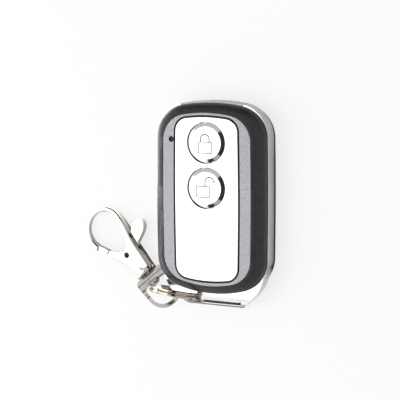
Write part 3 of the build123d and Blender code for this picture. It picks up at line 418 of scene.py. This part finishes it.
# Camera fitted to the photograph: its axes, and its distance from a point at the front of the remote
RIGHT = Vector((0.9043, -0.0049, -0.4269))
UP = Vector((-0.0503, 0.9918, -0.1178))
BACK = Vector((0.4239, 0.1280, 0.8966))
LOOK_AT = Vector((0, 5.480, 12.4))
DISTANCE = 385.29
camera_data = bpy.data.cameras.new("photo_camera")
camera_data.sensor_width = 36
camera_data.lens = 116.2
camera_data.shift_x = -0.01497
camera_data.shift_y = -0.04388
camera_data.clip_start = 0.01
camera = show("photo_camera", camera_data)
turn = Matrix((RIGHT, UP, BACK)).transposed().to_4x4()
camera.matrix_world = Matrix.Translation((LOOK_AT + DISTANCE * BACK) * MM) @ turn
scene.camera = camera

# White studio: a soft light on matt faces, plain white to the camera, and with shapes in reflections
SOFT_LIGHT = 0.66
STUDIO_WHITE = (0.97, 0.97, 0.97)
STUDIO_DARK = (0.055, 0.042, 0.036)
world = bpy.data.worlds.new("studio")
scene.world = world
world.use_nodes = True
sky = Shader(world.node_tree)
shine = sky.tree.nodes["Background"]
soft = sky.node("ShaderNodeBackground")
soft.inputs["Color"].default_value = (1, 1, 1, 1)
soft.inputs["Strength"].default_value = SOFT_LIGHT
sky_rays = sky.node("ShaderNodeLightPath").outputs
sky_glossy = sky_rays["Is Glossy Ray"]
toward = sky.node("ShaderNodeTexCoord").outputs["Generated"]
sky_x, sky_y, sky_z = sky.parts(toward)

# Dark curved flag: an arch round the direction that the panel mirrors to the camera, with one gap
PANEL_MIRRORS = (-0.424, -0.128, 0.897)
FLAG_SIDE = (0.807, -0.590, 0.0)
FLAG_GAP = (0.012, -0.648, 0.763)
GAP_BRIGHTNESS = 0.75
near_mirror = sky.dot(toward, PANEL_MIRRORS)
arch = sky.calc("SUBTRACT", sky.above(near_mirror, 0.60, 0.64), sky.above(near_mirror, 0.79, 0.83))
gap = sky.product(sky.above(sky.dot(toward, FLAG_GAP), 0.984, 0.994), GAP_BRIGHTNESS)
flag_edges = (sky.above(sky.dot(toward, FLAG_SIDE), -0.12, -0.07), sky.above(sky_z, 0.50, 0.56),
              sky.above(sky_x, -0.40, -0.34))
flag = sky.product(arch, sky.rest(gap), *flag_edges)

# Dark wall low behind
wall = sky.product(sky.above(sky_y, 0.76, 0.86), sky.below(sky_z, 0.42, 0.55))
dark = sky.product(sky.largest(flag, wall), sky_glossy)
sky.link(sky.colour_mix(dark, STUDIO_WHITE, STUDIO_DARK), shine.inputs["Color"])

# Bright cards, one in front at the left and one low at the left
FRONT_CARD_GLOW = 0.95
SIDE_CARD_GLOW = 1.8
front_card = sky.product(sky.below(sky_x, -0.36, -0.30), sky.below(sky_y, -0.30, -0.22),
                         sky.above(sky_z, -0.04, 0.0), FRONT_CARD_GLOW)
side_card = sky.product(sky.below(sky_x, -0.86, -0.80), sky.below(sky_z, 0.40, 0.50), SIDE_CARD_GLOW)
cards = sky.product(sky.calc("ADD", front_card, side_card), sky_glossy)
sky.link(sky.calc("ADD", cards, 1.0), shine.inputs["Strength"])

seen = sky.calc("ADD", sky_rays["Is Camera Ray"], sky_glossy)
seen = sky.calc("ADD", seen, sky_rays["Is Transmission Ray"], clamp=True)
sky.surface_mix(seen, soft.outputs[0], shine.outputs[0], "World Output")
scene.view_settings.view_transform = "Standard"


def softbox(name, place, aim, size, power):
    """Rectangular soft light at a place, turned to a point, its power in watts."""
    data = bpy.data.lights.new(name, "AREA")
    data.shape = "RECTANGLE"
    data.size, data.size_y = size[0] * MM, size[1] * MM
    data.energy = power
    made = show(name, data)
    made.location = Vector(place) * MM
    made.rotation_euler = (Vector(aim) - Vector(place)).to_track_quat("-Z", "Y").to_euler()


softbox("key", place=(-228, -60, 396), aim=(0, 0, 0), size=(362, 362), power=0.76)
softbox("rim", place=(-360, -60, 85), aim=(0, 0, 8), size=(320, 90), power=0.36)

# Padlock icons on the buttons' tops: width and flatness of their strokes, and sizes of the locks
BUTTON_TOP = 12.5
STROKE_WIDTH = 0.34
STROKE_FLATNESS = 0.25
LOCK_HALF_WIDTH = 2.15
LOCK_HALF_HEIGHT = 1.65
SHACKLE_HALF_WIDTH = 1.4
SHACKLE_RISE = 1.25


def strokes(name, lines, look, body):
    """Raised strokes along open or closed outlines, as thin flattened ridges."""
    data = bpy.data.curves.new(name, "CURVE")
    data.dimensions = "3D"
    data.bevel_depth = STROKE_WIDTH * MM / 2
    data.bevel_resolution = 3
    data.use_fill_caps = True
    for points, closed in lines:
        spline = data.splines.new("POLY")
        spline.points.add(len(points) - 1)
        for point, (x, y) in zip(spline.points, points):
            point.co = (x * MM, y * MM, 0, 1)
        spline.use_cyclic_u = closed
    made = show(name, data, look)
    made.location = (0, 0, BUTTON_TOP * MM)
    made.scale = (1, 1, STROKE_FLATNESS)
    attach(made, body)


def arc(cx, cy, rx, ry, start, end, count=14):
    """Points on an elliptical arc, in degrees."""
    angles = [math.radians(start + (end - start) * k / count) for k in range(count + 1)]
    return [(cx + rx * math.cos(a), cy + ry * math.sin(a)) for a in angles]


def padlock(cx, cy, shackle_x, lift, free_leg):
    """Outline of a plain padlock: its box, and a shackle whose right leg has its own length."""
    left, right = cx - LOCK_HALF_WIDTH, cx + LOCK_HALF_WIDTH
    low, high = cy - LOCK_HALF_HEIGHT, cy + LOCK_HALF_HEIGHT
    box = [(left, low), (right, low), (right, high), (left, high)]
    top = high + lift
    bow = arc(shackle_x, top, SHACKLE_HALF_WIDTH, SHACKLE_RISE, 180, 0)
    legs = (shackle_x - SHACKLE_HALF_WIDTH, high), (shackle_x + SHACKLE_HALF_WIDTH, top - free_leg)
    return [(box, True), ([legs[0], *bow, legs[1]], False)]


closed_lock = padlock(cx=-0.25, cy=15.9, shackle_x=-0.3, lift=1.05, free_leg=1.05)
open_lock = padlock(cx=-1.0, cy=2.6, shackle_x=1.1, lift=1.55, free_leg=0.45)
# The icons' dark grey is painted shade
strokes("lock_icon", closed_lock, icon_shade, "lock_key")
strokes("unlock_icon", open_lock, icon_shade, "unlock_key")


def skin(mesh, rows, capped=False):
    """Faces between rows of points that go round; a row of one point closes an end."""
    for low, high in zip(rows, rows[1:]):
        count = max(len(low), len(high))
        for k in range(count):
            n = (k + 1) % count
            corners = (low[k % len(low)], low[n % len(low)], high[n % len(high)], high[k % len(high)])
            mesh.faces.new(tuple(dict.fromkeys(corners)))
    if capped:
        mesh.faces.new(rows[0])
        mesh.faces.new(rows[-1])
    bmesh.ops.recalc_face_normals(mesh, faces=mesh.faces)


def piece(name, mesh, look, body):
    """Turns a finished bmesh into a smooth-shaded piece, which rides on a body if one is given."""
    for face in mesh.faces:
        face.smooth = True
    data = bpy.data.meshes.new(name)
    mesh.to_mesh(data)
    mesh.free()
    data.set_sharp_from_angle(angle=SHARP_ANGLE)
    made = show(name, data, look)
    if body:
        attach(made, body)
    return made


def turned(name, profile, place, axis, look, body, count=32):
    """Round piece from (radius, height) points about an axis; radius 0 closes an end."""
    mesh = bmesh.new()
    stand = Vector(axis).to_track_quat("Z", "Y").to_matrix()
    rows = []
    for radius, height in profile:
        angles = [2 * math.pi * k / count for k in range(count if radius > 0 else 1)]
        points = [Vector((radius * math.cos(a), radius * math.sin(a), height)) for a in angles]
        rows.append([mesh.verts.new((Vector(place) + stand @ point) * MM) for point in points])
    skin(mesh, rows)
    piece(name, mesh, look, body)


# Black collar round the lamp's lens
COLLAR = [(0.62, 12.05), (0.62, 12.30), (0.72, 12.34), (0.82, 12.32), (0.87, 12.265)]
LENS_PLACE = (-11.6, 18.1, 0)
turned("lens_collar", COLLAR, LENS_PLACE, (0, 0, 1), lens, "fob")

# Low domed head of the rivet, in its seat on the clasp's front; its near-black colour is painted shade
DOME = [(1.13, -0.24), (1.13, -0.02), (1.05, 0.05), (0.8, 0.10), (0.4, 0.13), (0, 0.14)]
RIVET_PLACE = (-31.26, -20.2, 5.12)
turned("rivet_dome", DOME, RIVET_PLACE, CLASP_FRONT, rivet_shade_dark, "claw")

# Curved front face of the foot: y and z of three of its points, and how deep the strips lie in it
FOOT_SLOPE = [(-28.9, 8.2), (-31.1, 7.7), (-32.85, 6.2)]
STRIP_SINK = 0.02


def slope_z(y):
    """Height of the foot's front face at a place y, on the arc through its three points."""
    (ya, za), (yb, zb), (yc, zc) = FOOT_SLOPE
    d = 2 * (ya * (zb - zc) + yb * (zc - za) + yc * (za - zb))
    a2, b2, c2 = ya * ya + za * za, yb * yb + zb * zb, yc * yc + zc * zc
    cy = (a2 * (zb - zc) + b2 * (zc - za) + c2 * (za - zb)) / d
    cz = (a2 * (yc - yb) + b2 * (ya - yc) + c2 * (yb - ya)) / d
    radius = math.hypot(ya - cy, za - cz)
    return cz + math.sqrt(radius * radius - (y - cy) ** 2)


def corner_cut(y, y_low, y_high, corner):
    """How far the rounded corners of a strip draw its right end in at a place y."""
    past = max(0.0, y - y_high + corner, y_low + corner - y)
    return corner - math.sqrt(max(0.0, corner ** 2 - past ** 2))


def slope_strip(name, x_range, y_range, depth, look, steps=4, corner=0.0, lift=0.0):
    """Strip let into the slot along the foot's front face; lift raises its lower edge."""
    x_low, x_high = x_range
    y_low, y_high = y_range
    mesh = bmesh.new()
    rows = []
    for k in range(steps + 1):
        y = y_low + (y_high - y_low) * k / steps
        x_end = x_high - corner_cut(y, y_low, y_high, corner)
        z = slope_z(y) - STRIP_SINK + lift * (y_high - y) / (y_high - y_low)
        points = [(x_low, y, z), (x_end, y, z), (x_end, y, z - depth), (x_low, y, z - depth)]
        rows.append([mesh.verts.new(Vector(point) * MM) for point in points])
    skin(mesh, rows, capped=True)
    piece(name, mesh, look, "fob")


# Strips in the right-hand part of the foot's slot, which leave a narrow dark slit across it; slot_shade is a
# black sheet of painted shade behind the slit
slope_strip("slot_plate", (-3.5, 9.06), (-31.42, -29.53), 0.5, band, steps=8, corner=0.6)
slope_strip("slot_lip", (-3.5, 8.9), (-32.84, -32.38), 0.6, band, lift=0.2)
slope_strip("slot_shade", (-3.4, 8.85), (-32.57, -30.6), 0.5, black_and_slot_shade)

# Leaf spring of the gate: its middle line in the clasp's own plane, from its foot to its tip
CLAW_ORIGIN = Vector((-24.18, -25.656, 3.7))
LEAF_HALF_WIDTH = 0.5
LEAF_HALF_THICKNESS = 0.13
BEND = [(-6.3, -1.4), (-6.05, 0.0), (-5.8, 1.6), (-5.68, 2.6), (-5.66, 2.95), (-5.8, 3.15), (-6.1, 3.19),
        (-6.6, 3.09), (-7.1, 2.99), (-7.6, 2.88), (-8.0, 2.80), (-8.2, 2.76)]


def on_claw(x, y, z=0.0):
    """Point in the clasp's own plane, in metres."""
    return (CLAW_ORIGIN + CLAW_X * x + CLAW_Y * y + CLASP_FRONT * z) * MM


leaf = bmesh.new()
rows = []
for k, (x, y) in enumerate(BEND):
    ahead = Vector(BEND[min(k + 1, len(BEND) - 1)]) - Vector(BEND[max(k - 1, 0)])
    side = ahead.orthogonal().normalized() * LEAF_HALF_THICKNESS
    rows.append([leaf.verts.new(on_claw(x + side.x * a, y + side.y * a, b * LEAF_HALF_WIDTH))
                 for a, b in ((-1, -1), (1, -1), (1, 1), (-1, 1))])
skin(leaf, rows, capped=True)
leaf_spring = piece("leaf_spring", leaf, steel, None)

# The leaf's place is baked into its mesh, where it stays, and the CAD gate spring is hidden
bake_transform(leaf_spring)
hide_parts("gate_spring")
